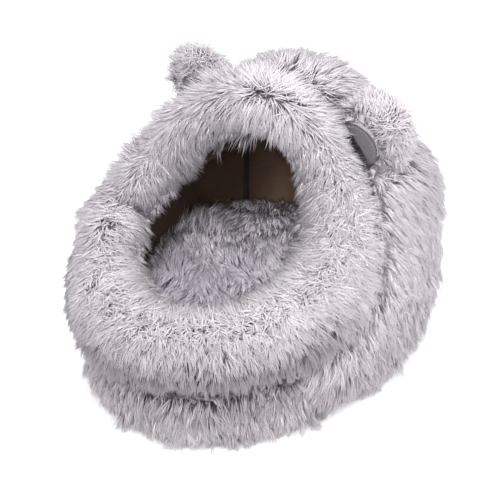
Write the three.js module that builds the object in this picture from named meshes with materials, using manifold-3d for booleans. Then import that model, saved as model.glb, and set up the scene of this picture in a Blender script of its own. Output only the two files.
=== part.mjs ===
// A plush pet bed made as a padded cave, with a rolled rim, a hood with two ears and a loose cushion
import * as THREE from "three";
import { mergeVertices } from "three/addons/utils/BufferGeometryUtils.js";
import Module from "manifold-3d";

const wasm = await Module();
wasm.setup();

// Driving dimensions in millimetres: the front is -Y, the right is +X and the floor is z = 0
const GAP = 0.5; // clearance between neighbouring pieces
const WALL = 42; // padded wall with its pile
const SEAM_Y = -92; // upright seams between the front wall and the hood
const BASE_HEIGHT = 10; // padded bottom panel
const BASE_COLUMNS = 72;
const LINING = 1.5; // lining cloth
const LINING_GAP = 1.2; // lining to the padding behind it
const CUSHION_SIDE_GAP = 8; // loose cushion to lining
const TUFT = 6; // height of the tufts in the pile, peak to hollow
const LAY = 4; // how far a tuft leans the way that the pile is combed
const LOCK = 13; // length of the locks along both sides of the roll
const FAR = 400; // past the whole bed on every side
const MOUTH_CENTRE = new THREE.Vector3(0, -40, 190);
const MOUTH_DEPTH = 320; // how far the mouth's clearance runs outwards
const MOUTH_MARGIN = 20; // how far inside the roll's outer side the clearance is bounded
const MOUTH_STATIONS = 60;
const MOUTH_FLOOR = new THREE.Vector3(0, 60, 150); // deepest point of the mouth's clearance
const OUTWARDS = new THREE.Vector3(0, -0.5, 0.87).normalize();

// Outer form of the wall and hood, floor to crown: half width, and where it ends behind and in front
const SHELL_ROWS = [
  { z: 0, half: 154, back: 194, front: -178, widest: 62 },
  { z: 16, half: 163, back: 204, front: -187, widest: 63 },
  { z: 50, half: 166, back: 208, front: -184, widest: 66 },
  { z: 92, half: 167, back: 208, front: -170, widest: 70 },
  { z: 136, half: 166, back: 206, front: -148, widest: 78 },
  { z: 182, half: 155, back: 200, front: -78, widest: 82 },
  { z: 226, half: 121, back: 182, front: -14, widest: 82 },
  { z: 261, half: 84, back: 155, front: 16, widest: 80 },
  { z: 285, half: 48, back: 124, front: 38, widest: 78 },
  { z: 295, half: 14, back: 90, front: 64, widest: 77 },
];
const SHELL_POWER = 2.15; // squareness of the plan
const SWAY = 0.11; // how far the front leans to the left as the plan runs forwards
const SWAY_FROM = 20;
const SHELL_COLUMNS = 72;
const SHELL_RINGS = 18;
const CAVITY_COLUMNS = 40;
const CAVITY_RINGS = 11;

// Centre line and radius of the rolled rim: from the front, up the right, over the arch and down the left
const RIM_ROWS = [
  { x: -9, y: -153, z: 108, radius: 43 },
  { x: 38, y: -132, z: 110, radius: 43 },
  { x: 69, y: -107, z: 116, radius: 44 },
  { x: 87, y: -80, z: 124, radius: 45 },
  { x: 97, y: -51, z: 133, radius: 44 },
  { x: 100, y: -21, z: 146, radius: 43 },
  { x: 94, y: 6, z: 168, radius: 41 },
  { x: 78, y: 26, z: 198, radius: 38 },
  { x: 56, y: 35, z: 230, radius: 35 },
  { x: 30, y: 33, z: 260, radius: 32 },
  { x: -2, y: 26, z: 279, radius: 31 },
  { x: -37, y: 21, z: 268, radius: 32 },
  { x: -66, y: 13, z: 244, radius: 33 },
  { x: -88, y: 1, z: 216, radius: 34 },
  { x: -107, y: -13, z: 187, radius: 36 },
  { x: -118, y: -41, z: 160, radius: 39 },
  { x: -115, y: -79, z: 140, radius: 41 },
  { x: -99, y: -115, z: 126, radius: 45 },
  { x: -74, y: -143, z: 114, radius: 46 },
  { x: -43, y: -157, z: 110, radius: 44 },
];
const RIM_STATIONS = 84;
const RIM_SIDES = 16;
const MOUTH_LOCKS = 0; // side of the roll with the locks that hang into the mouth
const WALL_LOCKS = 9; // side of the roll with the locks that hang over the wall
const GROOVE = 9; // depth of the parting between the roll and the wall, where those locks lie

// Soft creases that cross the left of the roll: place round the rim, depth and half length
const RIM_CREASES = [
  { place: 0.768, depth: 12, reach: 0.013 },
  { place: 0.796, depth: -4, reach: 0.022 },
  { place: 0.832, depth: 6, reach: 0.011 },
];

// Profile of the loose cushion, base to crown: height and share of its plan
const CUSHION_ROWS = [
  { z: 10.5, share: 0.88 },
  { z: 18, share: 0.97 },
  { z: 34, share: 1.0 },
  { z: 52, share: 1.0 },
  { z: 65, share: 0.96 },
  { z: 76, share: 0.9 },
  { z: 83, share: 0.74 },
  { z: 86, share: 0.45 },
  { z: 87, share: 0.15 },
];
const CUSHION_PLAN_ROW = 2; // row of the outer form whose plan the cushion follows
const CUSHION_COLUMNS = 48;
const CUSHION_RINGS = 13;
const CUSHION_MIDDLE_Y = 22;

// Dimples in the cushion's crown
const DIMPLES = [
  { x: -30, y: -62, depth: 12, reach: 30 },
  { x: 42, y: 10, depth: 7, reach: 24 },
  { x: -48, y: 52, depth: 7, reach: 26 },
];

// Both ears: the middle of each seam, and the middle of its round felt seen from the front
const EARS = [
  { label: "right", side: 1, foot: new THREE.Vector3(82, 74, 230), felt: new THREE.Vector2(78.5, 238.5) },
  { label: "left", side: -1, foot: new THREE.Vector3(-91, 74, 222), felt: new THREE.Vector2(-96, 233) },
];

// One ear in its own frame: height from the seam, half width, and depth in front of its middle and behind it
const EAR_ROWS = [
  { h: -14, half: 32, front: 13, thick: 20 },
  { h: 0, half: 35, front: 15, thick: 22 },
  { h: 14, half: 37, front: 16, thick: 24 },
  { h: 30, half: 34, front: 15, thick: 23 },
  { h: 45, half: 27, front: 13, thick: 19 },
  { h: 56, half: 17, front: 9, thick: 13 },
  { h: 62, half: 7, front: 4, thick: 6 },
];
const EAR_COLUMNS = 20;
const EAR_RINGS = 9;
const EAR_DEPTH = 22; // how far the ear's seam reaches into the hood's padding
const EAR_TILT = THREE.MathUtils.degToRad(25); // lean of the ear away from upright
const FELT = 1.5; // inner ear cloth
const FELT_RADIUS = 24.5;
const FELT_CLEAR = 2; // room round the felt in the hood's pile
const FELT_COLUMNS = 28;

// Bound seam down the lining
const BINDING_WIDTH = 8;
const BINDING_THICK = 2.4;
const BINDING_ANGLE = THREE.MathUtils.degToRad(129); // place of the seam in plan, from the right side
const BINDING_LEAN = THREE.MathUtils.degToRad(6); // how far its foot leans to the left of its top
const BINDING_GAP = 1.8; // tape to the lining where the lining is flattest
const BINDING_STEPS = 22;
const BINDING_SIDES = 6;
const BINDING_FROM = 0.35; // rows of the outer form between which the tape runs
const BINDING_TO = 6.6;

const COLOURS = {
  plush: 0xc6c1c9,
  plushShade: 0xb4adb5,
  cushion: 0xa59da8,
  felt: 0x76727a,
  lining: 0x5b4e49,
  binding: 0x1d1412,
  base: 0x8a858c,
};

// Value of a named column at a place between the rows, on a smooth curve through them. A loop joins its ends
function column(rows, key, place, loop = false) {
  const count = rows.length;
  const last = count - 1;
  const at = loop ? place : Math.min(Math.max(place, 0), last);
  const i = loop ? Math.floor(at) : Math.min(Math.floor(at), last - 1);
  const f = at - i;
  const value = (k) => rows[loop ? (k + count) % count : Math.min(Math.max(k, 0), last)][key];
  const [a, b, c, d] = [value(i - 1), value(i), value(i + 1), value(i + 2)];
  const slope = (c - a) / 2;
  const nextSlope = (d - b) / 2;
  const rise = c - b;
  return b + f * (slope + f * (3 * rise - 2 * slope - nextSlope + f * (slope + nextSlope - 2 * rise)));
}

// The soft front sits a little to the left of the ears
function sway(y) {
  return -SWAY * Math.max(0, SWAY_FROM - y);
}

// An even spread of chance values from two whole numbers, the same on every run
function chance(i, j) {
  const n = Math.sin(i * 127.1 + j * 311.7) * 43758.5453;
  return n - Math.floor(n);
}

// Slow swells of padding under the pile
function swell(p) {
  return 1.6 * Math.sin(p.x / 23 + 1.3) * Math.sin(p.z / 31) + 1.4 * Math.sin(p.y / 27 + p.z / 19);
}

// A closed body from a grid of points: with caps it has a fan at each end, and without them it is a ring
function gridBody(rings, columns, pointAt, caps) {
  const positions = [];
  const index = [];
  for (let i = 0; i < rings; i++) {
    for (let j = 0; j < columns; j++) positions.push(...pointAt(i, j).toArray());
  }
  const bands = caps ? rings - 1 : rings;
  for (let i = 0; i < bands; i++) {
    for (let j = 0; j < columns; j++) {
      const a = i * columns + j;
      const b = i * columns + ((j + 1) % columns);
      const c = ((i + 1) % rings) * columns + ((j + 1) % columns);
      const d = ((i + 1) % rings) * columns + j;
      // each tuft is a peak on its own: the fold of a face runs between its two hollows
      if ((i + j) % 2 === 0) index.push(a, b, d, b, c, d);
      else index.push(a, b, c, a, c, d);
    }
  }
  if (caps) {
    for (const ring of [0, rings - 1]) {
      const middle = new THREE.Vector3();
      for (let j = 0; j < columns; j++) {
        middle.add(new THREE.Vector3().fromArray(positions, (ring * columns + j) * 3));
      }
      const centre = positions.length / 3;
      positions.push(...middle.divideScalar(columns).toArray());
      for (let j = 0; j < columns; j++) {
        const a = ring * columns + j;
        const b = ring * columns + ((j + 1) % columns);
        if (ring === 0) index.push(centre, b, a);
        else index.push(centre, a, b);
      }
    }
  }
  const geometry = new THREE.BufferGeometry();
  geometry.setAttribute("position", new THREE.Float32BufferAttribute(positions, 3));
  geometry.setIndex(index);
  return geometry;
}

// Turns a geometry into a solid that can be cut and joined, the right way out
function solidOf(geometry) {
  const bare = new THREE.BufferGeometry();
  bare.setAttribute("position", geometry.getAttribute("position"));
  bare.setIndex(geometry.index);
  const merged = mergeVertices(bare, 1e-4);
  const make = (triVerts) =>
    new wasm.Manifold(
      new wasm.Mesh({ numProp: 3, vertProperties: merged.attributes.position.array, triVerts }),
    );
  const triangles = new Uint32Array(merged.index.array);
  const solid = make(triangles);
  if (solid.volume() > 0) return solid;
  for (let k = 0; k < triangles.length; k += 3) {
    [triangles[k + 1], triangles[k + 2]] = [triangles[k + 2], triangles[k + 1]];
  }
  return make(triangles);
}

// The largest body of a solid, as a geometry
function geometryOf(solid) {
  const bodies = solid.decompose();
  const largest = bodies.reduce((a, b) => (a.volume() > b.volume() ? a : b));
  const { vertProperties, triVerts } = largest.getMesh();
  const geometry = new THREE.BufferGeometry();
  geometry.setAttribute("position", new THREE.BufferAttribute(new Float32Array(vertProperties), 3));
  geometry.setIndex(new THREE.BufferAttribute(new Uint32Array(triVerts), 1));
  return geometry;
}

// A box between two corners
function blockSolid(low, high) {
  const size = new THREE.Vector3().subVectors(high, low);
  const geometry = new THREE.BoxGeometry(size.x, size.y, size.z);
  geometry.translate((low.x + high.x) / 2, (low.y + high.y) / 2, (low.z + high.z) / 2);
  return solidOf(geometry);
}

// A point on the smooth outer form, by row place and plan angle
function shellPoint(place, angle) {
  const half = column(SHELL_ROWS, "half", place);
  const widest = column(SHELL_ROWS, "widest", place);
  const sine = Math.sin(angle);
  const cosine = Math.cos(angle);
  const end = column(SHELL_ROWS, sine > 0 ? "back" : "front", place);
  const rounded = (v) => Math.sign(v) * Math.abs(v) ** (2 / SHELL_POWER);
  const y = widest + Math.abs(end - widest) * rounded(sine);
  return new THREE.Vector3(half * rounded(cosine) + sway(y), y, column(SHELL_ROWS, "z", place));
}

// The way out of the smooth form, and the way down it
function shellFrame(place, angle) {
  const step = 0.01;
  const up = shellPoint(place + step, angle).sub(shellPoint(place - step, angle));
  const round = shellPoint(place, angle + step).sub(shellPoint(place, angle - step));
  return { out: round.clone().cross(up).normalize(), down: up.clone().normalize().negate() };
}

// The form moved in by a depth, with a flat foot at a given height
function insetPoint(place, angle, depth, foot) {
  const point = shellPoint(place, angle).addScaledVector(shellFrame(place, angle).out, -depth);
  if (place === 0) point.z = foot;
  return point;
}

function insetForm(depth, foot, rings, columns) {
  const top = SHELL_ROWS.length - 1;
  const pointAt = (i, j) =>
    insetPoint((top * i) / (rings - 1), (2 * Math.PI * j) / columns, depth, foot);
  return solidOf(gridBody(rings, columns, pointAt, true));
}

// The outer form with its tufts and, round the foot, the locks that brush the floor
function shaggyForm() {
  const top = SHELL_ROWS.length - 1;
  const pointAt = (i, j) => {
    const place = (top * i) / (SHELL_RINGS - 1);
    const angle = (2 * Math.PI * (j + chance(i, j) * 0.5)) / SHELL_COLUMNS;
    const { out, down } = shellFrame(place, angle);
    const point = shellPoint(place, angle);
    const peak = (i + j) % 2 === 0;
    const uneven = chance(j, i + 7);
    if (i === 0) {
      point.addScaledVector(out, peak ? 2 : -TUFT);
      point.z = 0;
      return point;
    }
    const tuft = TUFT * Math.min(1, column(SHELL_ROWS, "half", place) / 60);
    point.addScaledVector(out, swell(point) + (peak ? 0.5 * tuft * uneven : -tuft * (0.5 + 0.5 * uneven)));
    if (peak) point.addScaledVector(down, LAY * uneven);
    return point;
  };
  return solidOf(gridBody(SHELL_RINGS, SHELL_COLUMNS, pointAt, true));
}

// The section of the roll at a place round the rim: its middle, inward and crest directions and radius
const rimLine = new THREE.CatmullRomCurve3(
  RIM_ROWS.map((row) => new THREE.Vector3(row.x, row.y, row.z)),
  true,
);

function rimSection(place) {
  const middle = rimLine.getPoint(place);
  const along = rimLine.getTangent(place);
  const inward = new THREE.Vector3().subVectors(MOUTH_CENTRE, middle);
  inward.addScaledVector(along, -inward.dot(along)).normalize();
  return {
    middle,
    inward,
    crest: new THREE.Vector3().crossVectors(along, inward),
    radius: column(RIM_ROWS, "radius", place * RIM_ROWS.length, true),
  };
}

// How much the creases draw the roll in at a place and an angle of its section
function creaseDepth(place, angle) {
  const facing = Math.max(0, Math.cos(angle - Math.PI / 3));
  return RIM_CREASES.reduce(
    (sum, fold) => sum + fold.depth * facing * Math.exp(-(((place - fold.place) / fold.reach) ** 2)),
    0,
  );
}

// A point of the roll at a distance beyond its radius
function rimPoint(section, angle, beyond) {
  const reach = section.radius + beyond;
  return section.middle
    .clone()
    .addScaledVector(section.inward, reach * Math.cos(angle))
    .addScaledVector(section.crest, reach * Math.sin(angle));
}

// The roll: tufts where it shows, longer locks into the mouth and over the wall below
function rimForm() {
  const hidden = (k) => k > WALL_LOCKS && k < RIM_SIDES - 2;
  const pointAt = (i, k) => {
    const place = i / RIM_STATIONS;
    const angle = (2 * Math.PI * k) / RIM_SIDES;
    const section = rimSection(place);
    const peak = (i + k) % 2 === 0;
    const hollow = peak || hidden(k) ? 0 : TUFT * (0.5 + 0.5 * chance(i, k));
    const point = rimPoint(section, angle, -creaseDepth(place, angle) - hollow);
    const length = LOCK * (0.6 + 0.4 * chance(k, i));
    if (peak && k === MOUTH_LOCKS) {
      point.addScaledVector(section.inward, 0.5 * length).addScaledVector(section.crest, -0.6 * length);
    }
    if (peak && k === WALL_LOCKS) {
      point.addScaledVector(section.inward, -0.2 * length).addScaledVector(section.crest, -0.8 * length);
    }
    return point;
  };
  return solidOf(gridBody(RIM_STATIONS, RIM_SIDES, pointAt, false));
}

// The seat that the roll and its locks need, a clearance larger than they are
function rimRoomForm(clearance) {
  const parting = (2 * Math.PI * (WALL_LOCKS + 0.5)) / RIM_SIDES;
  const pointAt = (i, k) => {
    const angle = (2 * Math.PI * k) / RIM_SIDES;
    const open = Math.max(0, Math.cos(angle - parting)) ** 6;
    return rimPoint(rimSection(i / RIM_STATIONS), angle, clearance + GROOVE * open);
  };
  return solidOf(gridBody(RIM_STATIONS, RIM_SIDES, pointAt, false));
}

// Everything in front of the mouth, bounded by the middle of the roll
function mouthRoomForm() {
  const shift = OUTWARDS.clone().multiplyScalar(MOUTH_DEPTH);
  const pointAt = (i, j) => {
    const point = rimPoint(rimSection(j / MOUTH_STATIONS), Math.PI, -MOUTH_MARGIN);
    if (i === 0) return point.lerp(MOUTH_FLOOR, 0.9);
    return i === 1 ? point : point.add(shift);
  };
  return solidOf(gridBody(3, MOUTH_STATIONS, pointAt, true));
}

// The plan outline at a row of the outer form, moved in by a depth
function planOutline(row, depth, columns) {
  const points = [];
  for (let j = 0; j < columns; j++) {
    const point = insetPoint(row, (2 * Math.PI * j) / columns, depth, 0);
    points.push(new THREE.Vector2(point.x, point.y));
  }
  return points;
}

function basePanel() {
  const shape = new THREE.Shape(planOutline(0, WALL + 2 * GAP, BASE_COLUMNS));
  return new THREE.ExtrudeGeometry(shape, { depth: BASE_HEIGHT, bevelEnabled: false });
}

function cushionForm() {
  const depth = WALL + LINING_GAP + LINING + CUSHION_SIDE_GAP;
  const outline = planOutline(CUSHION_PLAN_ROW, depth, CUSHION_COLUMNS);
  const middle = new THREE.Vector2(0, CUSHION_MIDDLE_Y);
  const pointAt = (i, j) => {
    const place = ((CUSHION_ROWS.length - 1) * i) / (CUSHION_RINGS - 1);
    const share = column(CUSHION_ROWS, "share", place);
    const plan = middle.clone().lerp(outline[j], share);
    const point = new THREE.Vector3(plan.x, plan.y, column(CUSHION_ROWS, "z", place));
    if (i === 0) return point;
    const peak = (i + j) % 2 === 0 ? 1 : -1;
    const dip = DIMPLES.reduce((sum, d) => {
      const away = Math.hypot(point.x - d.x, point.y - d.y) / d.reach;
      return sum + d.depth * Math.exp(-away * away);
    }, 0);
    const onTop = Math.min(1, Math.max(0, (point.z - 50) / 25));
    point.z += onTop * (peak * share * 0.4 * TUFT * chance(i, j) - dip + swell(point));
    return point;
  };
  return gridBody(CUSHION_RINGS, CUSHION_COLUMNS, pointAt, true);
}

// Axes of an ear: up its middle, across it, and out of its front
function earFrame(ear) {
  const up = new THREE.Vector3(ear.side * Math.sin(EAR_TILT), 0, Math.cos(EAR_TILT));
  const front = new THREE.Vector3(0, -1, 0);
  return { foot: ear.foot, up, front, across: up.clone().cross(front) };
}

// Half width and half thickness of the ear's pad at a height
function earSize(height) {
  const last = EAR_ROWS.length - 1;
  let row = 0;
  while (row < last - 1 && EAR_ROWS[row + 1].h < height) row++;
  const place = row + (height - EAR_ROWS[row].h) / (EAR_ROWS[row + 1].h - EAR_ROWS[row].h);
  const size = (key) => column(EAR_ROWS, key, place);
  return { half: size("half"), front: size("front"), thick: size("thick") };
}

// A point of the ear's pad, by height and by angle round it from its front
function earPoint(frame, height, angle, grow) {
  const { half, front, thick } = earSize(height);
  const depth = Math.cos(angle) > 0 ? front : thick;
  return frame.foot
    .clone()
    .addScaledVector(frame.up, height)
    .addScaledVector(frame.across, (half + grow) * Math.sin(angle))
    .addScaledVector(frame.front, (depth + grow) * Math.cos(angle));
}

function earPad(ear, clearance) {
  const frame = earFrame(ear);
  const low = EAR_ROWS[0].h - clearance;
  const high = EAR_ROWS.at(-1).h + clearance;
  const pointAt = (i, j) => {
    const height = low + ((high - low) * i) / (EAR_RINGS - 1);
    const angle = (2 * Math.PI * j) / EAR_COLUMNS;
    const onBack = Math.cos(angle) < 0.3;
    const peak = (i + j) % 2 === 0;
    const tuft = onBack && peak && i > 1 ? 0.8 * TUFT * chance(i, j) : 0;
    return earPoint(frame, height, angle, clearance + tuft);
  };
  return solidOf(gridBody(EAR_RINGS, EAR_COLUMNS, pointAt, true));
}

// The round outline of an ear's felt, run forwards from the middle of the ear
function feltOutline(ear, clearance) {
  const shape = new THREE.Shape();
  shape.absarc(ear.felt.x, ear.felt.y, FELT_RADIUS + clearance, 0, 2 * Math.PI);
  const form = new THREE.ExtrudeGeometry(shape, {
    depth: FAR,
    bevelEnabled: false,
    curveSegments: FELT_COLUMNS,
  });
  form.rotateX(Math.PI / 2);
  form.translate(0, ear.foot.y, 0);
  return solidOf(form);
}

// The felt on the front of an ear: a skin of its pad, down to the roll
function feltFace(ear) {
  const outside = earPad(ear, GAP + FELT).subtract(rimRoom);
  const inside = earPad(ear, GAP).subtract(rimRoomForm(GAP + FELT));
  return outside.subtract(inside).intersect(feltOutline(ear, 0)).subtract(earFloor);
}

// A tape bent round the seam of the lining, from the base to the roof
function bindingForm() {
  const depth = WALL + LINING_GAP + LINING + BINDING_GAP;
  const pointAt = (i, k) => {
    const place = BINDING_FROM + ((BINDING_TO - BINDING_FROM) * i) / BINDING_STEPS;
    const angle = BINDING_ANGLE + BINDING_LEAN * (1 - i / BINDING_STEPS);
    const middle = insetPoint(place, angle, depth + BINDING_THICK / 2, 0);
    const { out, down } = shellFrame(place, angle);
    const across = out.clone().cross(down);
    const turn = (2 * Math.PI * (k + 0.5)) / BINDING_SIDES;
    return middle
      .addScaledVector(across, (BINDING_WIDTH / 2) * Math.cos(turn))
      .addScaledVector(out, (BINDING_THICK / 2) * Math.sin(turn));
  };
  return solidOf(gridBody(BINDING_STEPS + 1, BINDING_SIDES, pointAt, true));
}

const rim = rimForm();
const rimRoom = rimRoomForm(GAP);
const mouth = mouthRoomForm();
const cavity = insetForm(WALL, -BASE_HEIGHT, CAVITY_RINGS, CAVITY_COLUMNS);
const wholeShell = shaggyForm().subtract(cavity).subtract(mouth).subtract(rimRoom);
const frontSide = blockSolid(new THREE.Vector3(-FAR, -FAR, -FAR), new THREE.Vector3(FAR, SEAM_Y, FAR));
const backSide = blockSolid(new THREE.Vector3(-FAR, SEAM_Y + GAP, -FAR), new THREE.Vector3(FAR, FAR, FAR));
const frontWall = wholeShell.intersect(frontSide);
const earFloor = insetForm(EAR_DEPTH, 0, SHELL_RINGS, SHELL_COLUMNS);
const seatFloor = insetForm(EAR_DEPTH + GAP, 0, SHELL_RINGS, SHELL_COLUMNS);
const earSeat = (ear) => earPad(ear, GAP).add(feltOutline(ear, FELT_CLEAR)).subtract(seatFloor);
const hood = EARS.reduce((form, ear) => form.subtract(earSeat(ear)), wholeShell.intersect(backSide));

const liningFoot = blockSolid(
  new THREE.Vector3(-FAR, -FAR, -FAR),
  new THREE.Vector3(FAR, FAR, BASE_HEIGHT + GAP),
);
const lining = insetForm(WALL + LINING_GAP, 0, CAVITY_RINGS, CAVITY_COLUMNS)
  .subtract(insetForm(WALL + LINING_GAP + LINING, -BASE_HEIGHT, CAVITY_RINGS, CAVITY_COLUMNS))
  .subtract(liningFoot)
  .subtract(mouth)
  .subtract(rimRoom);
const binding = bindingForm().subtract(mouth).subtract(rimRoomForm(2 * GAP)).subtract(liningFoot);


// Places one sub-part in the group under its own name, with its own finish
function addPiece(name, geometry, color, roughness) {
  const material = new THREE.MeshStandardMaterial({ color, roughness, metalness: 0, flatShading: true });
  const mesh = new THREE.Mesh(geometry, material);
  mesh.name = name;
  group.add(mesh);
}

const group = new THREE.Group();
addPiece("base_panel", basePanel(), COLOURS.base, 0.9);
addPiece("front_wall", geometryOf(frontWall), COLOURS.plushShade, 0.95);
addPiece("hood", geometryOf(hood), COLOURS.plush, 0.95);
addPiece("rim_roll", geometryOf(rim), COLOURS.plush, 0.95);
addPiece("lining", geometryOf(lining), COLOURS.lining, 0.85);
addPiece("seam_binding", geometryOf(binding), COLOURS.binding, 0.8);
addPiece("cushion", cushionForm(), COLOURS.cushion, 0.95);
for (const ear of EARS) {
  const pad = earPad(ear, 0).subtract(rimRoomForm(2 * GAP + FELT)).subtract(earFloor);
  addPiece(`ear_${ear.label}`, geometryOf(pad), COLOURS.plush, 0.95);
  addPiece(`ear_felt_${ear.label}`, geometryOf(feltFace(ear)), COLOURS.felt, 0.9);
}

export default group;
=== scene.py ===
import math

import bpy
import numpy as np
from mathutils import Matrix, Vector, kdtree
from mathutils.bvhtree import BVHTree


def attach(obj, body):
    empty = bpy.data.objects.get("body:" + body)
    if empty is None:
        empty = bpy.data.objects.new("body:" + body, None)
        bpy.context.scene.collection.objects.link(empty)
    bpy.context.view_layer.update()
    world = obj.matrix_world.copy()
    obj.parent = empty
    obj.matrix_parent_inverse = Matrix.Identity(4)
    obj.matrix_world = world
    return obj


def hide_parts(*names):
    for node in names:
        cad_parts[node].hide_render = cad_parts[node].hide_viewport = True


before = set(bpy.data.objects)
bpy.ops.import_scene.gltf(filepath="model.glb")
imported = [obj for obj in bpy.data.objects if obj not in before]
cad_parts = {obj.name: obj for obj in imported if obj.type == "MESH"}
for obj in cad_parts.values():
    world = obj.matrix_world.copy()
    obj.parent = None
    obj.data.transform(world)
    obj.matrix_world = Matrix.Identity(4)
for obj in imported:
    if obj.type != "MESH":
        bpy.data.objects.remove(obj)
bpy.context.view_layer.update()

MM = 0.001
UP = np.array([0.0, 0.0, 1.0])
DOWN = -UP

# Centre line of the rolled rim in millimetres, from the front up the right side and over to the left
ROLL_LINE = [
    (-9, -153, 108), (38, -132, 110), (69, -107, 116), (87, -80, 124), (97, -51, 133),
    (100, -21, 146), (94, 6, 168), (78, 26, 198), (56, 35, 230), (30, 33, 260),
    (-2, 26, 279), (-37, 21, 268), (-66, 13, 244), (-88, 1, 216), (-107, -13, 187),
    (-118, -41, 160), (-115, -79, 140), (-99, -115, 126), (-74, -143, 114), (-43, -157, 110),
]
MOUTH_MIDDLE = np.array([0, -40, 190]) * MM
HOOD_MIDDLE = np.array([0, 62, 110]) * MM
CAVE_AXIS = np.array([0, 0.022, 0])

# Creases across the left of the roll: place round the rim, depth in millimetres, half length
ROLL_CREASES = [(0.753, 12, 0.012), (0.786, -4, 0.020), (0.820, 5, 0.010)]

# Hollows pressed into the cushion, in millimetres: middle, depth, reach
CUSHION_HOLLOWS = [((-30, -62), 9, 26), ((42, 10), 6, 22), ((-48, 52), 6, 24)]

# Both ears: where the pile parts, and middle of the round felt, across and up, in millimetres
EARS = {"right": ((114, 76, 266), (78.5, 238.5)), "left": ((-103, 76, 264), (-96, 233))}
FELT_RADIUS = 24.5
FELT_BESIDE_ROLL = np.array([78.5, 56, 232]) * MM

# The sewing line on a felt: how many stitches, and how far inside the felt's edge in millimetres
STITCHES = 44
SEWN_INSIDE = 3.2

# Pile: how many strands each body carries
STRANDS = {"roll": 50000, "hood": 56000, "front_wall": 13000, "cushion": 16000, "ear": 5000}

# A strand: its width in millimetres, how far up it bends, how deep its root is, its least and most rise
# from the body in radians, and how much of that rise is left at its tip
STRAND_WIDTH = 1.45
BEND = 0.42
ROOT_DEPTH = 0.0015
LEAST_RISE = 0.1
MOST_RISE = 1.45
TIP_RISE = 0.42

# The map along a strand, and the margin that it keeps at both ends and beside the tints
STRAND_MAP = "OFBake"
MAP_MARGIN = 0.03

# Locks: how many strands lie in one, how far its strands close in, and the share of strands that stray
STRANDS_IN_LOCK = 6
GATHERED = 0.42
STRAYS = 0.15

# Strands bend back above the ceiling, come to rest within its depth, and stay this far above the floor
CEILING = 0.313
CEILING_DEPTH = 0.009
FLOOR_GAP = 0.0006

# Padding: steps of the cloth simulation, and steps in which a body is drawn in for its pile
CLOTH_STEPS = 20
DRAWING_STEPS = 3
MERGE_GAP = 0.00002

# The photograph's camera: turn to the right and height in degrees, distance, aim, and its picture in pixels
CAMERA_TURN = 30
CAMERA_HEIGHT = 40
CAMERA_DISTANCE = 1.4
CAMERA_AIM = Vector((0, 0, 0.13))
PICTURE_WIDTH = 500
FOCAL_LENGTH = 1400
PICTURE_SHIFT = (-3, -9)
SENSOR_WIDTH = 36

# Lamps: name, place, aim, size, power and spread in degrees
LAMPS = [
    ("overhead_softbox", (0.15, 0.3, 1.8), (0, 0, 0.12), 1.6, 14, 180),
    ("front_softbox", (0.15, -1.0, 1.7), (0, 0, 0.12), 1.2, 21, 180),
    ("side_softbox", (1.7, 0.1, 1.0), (0, 0, 0.12), 1.2, 12, 180),
    ("cave_spot", (0.47, -0.78, 0.90), (0, 0.04, 0.09), 0.1, 0.024, 14),
]
ROOM_LIGHT = 0.745


# Shaping

def clear_selection():
    bpy.ops.object.select_all(action="DESELECT")


def choose(piece):
    clear_selection()
    piece.select_set(True)
    bpy.context.view_layer.objects.active = piece


def apply_modifier(piece, kind, **settings):
    """Adds one modifier with these settings and applies it."""
    choose(piece)
    modifier = piece.modifiers.new(kind.lower(), kind)
    for name, value in settings.items():
        setattr(modifier, name, value)
    bpy.ops.object.modifier_apply(modifier=modifier.name)


def points_of(piece):
    flat = np.empty(len(piece.data.vertices) * 3)
    piece.data.vertices.foreach_get("co", flat)
    return flat.reshape(-1, 3)


def move_points(piece, points):
    piece.data.vertices.foreach_set("co", points.ravel())
    piece.data.update()


def normals_of(piece):
    flat = np.empty(len(piece.data.vertices) * 3)
    piece.data.vertices.foreach_get("normal", flat)
    return flat.reshape(-1, 3)


def copy_of(node, name):
    """A copy of a CAD node with its loose triangles merged, which then stands for the node."""
    piece = bpy.data.objects.new(name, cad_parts[node].data.copy())
    bpy.context.scene.collection.objects.link(piece)
    piece.data.materials.clear()
    choose(piece)
    bpy.ops.object.mode_set(mode="EDIT")
    bpy.ops.mesh.select_all(action="SELECT")
    bpy.ops.mesh.remove_doubles(threshold=MERGE_GAP)
    bpy.ops.mesh.normals_make_consistent(inside=False)
    bpy.ops.object.mode_set(mode="OBJECT")
    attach(piece, "root")
    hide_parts(node)
    return piece


def smooth_faces(piece):
    choose(piece)
    bpy.ops.object.shade_smooth()


def plump(piece, pressure, cap):
    """Fills a slightly small body: cloth under pressure, with each point kept near where it began."""
    if not pressure:
        return
    scene = bpy.context.scene
    start = points_of(piece)
    choose(piece)
    cloth = piece.modifiers.new("padding", "CLOTH")
    cloth.settings.use_pressure = True
    cloth.settings.uniform_pressure_force = pressure
    cloth.settings.effector_weights.gravity = 0
    cloth.settings.quality = 4
    cloth.point_cache.frame_start = 1
    cloth.point_cache.frame_end = CLOTH_STEPS
    for step in range(1, CLOTH_STEPS + 1):
        scene.frame_set(step)
    bpy.ops.object.modifier_apply(modifier=cloth.name)
    scene.frame_set(1)
    moved = points_of(piece) - start
    length = np.linalg.norm(moved, axis=1, keepdims=True)
    move_points(piece, start + moved * np.minimum(1, cap / np.maximum(length, 1e-9)))


def padded_body(node, name, voxel, drawn_in, smoothing, pressure, cap):
    """The padded body under the pile: a CAD node's copy, smoothed, drawn in for the pile and plumped."""
    piece = copy_of(node, name)
    apply_modifier(piece, "REMESH", mode="VOXEL", voxel_size=voxel)
    apply_modifier(piece, "SMOOTH", factor=0.5, iterations=smoothing)
    for _ in range(DRAWING_STEPS):
        points, normals = points_of(piece), normals_of(piece)
        depth = drawn_in(points, normals) * MM / DRAWING_STEPS
        move_points(piece, points - normals * depth[:, None])
        apply_modifier(piece, "SMOOTH", factor=0.4, iterations=2)
    plump(piece, pressure, cap)
    smooth_faces(piece)
    return piece


# The lie of the pile

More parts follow.
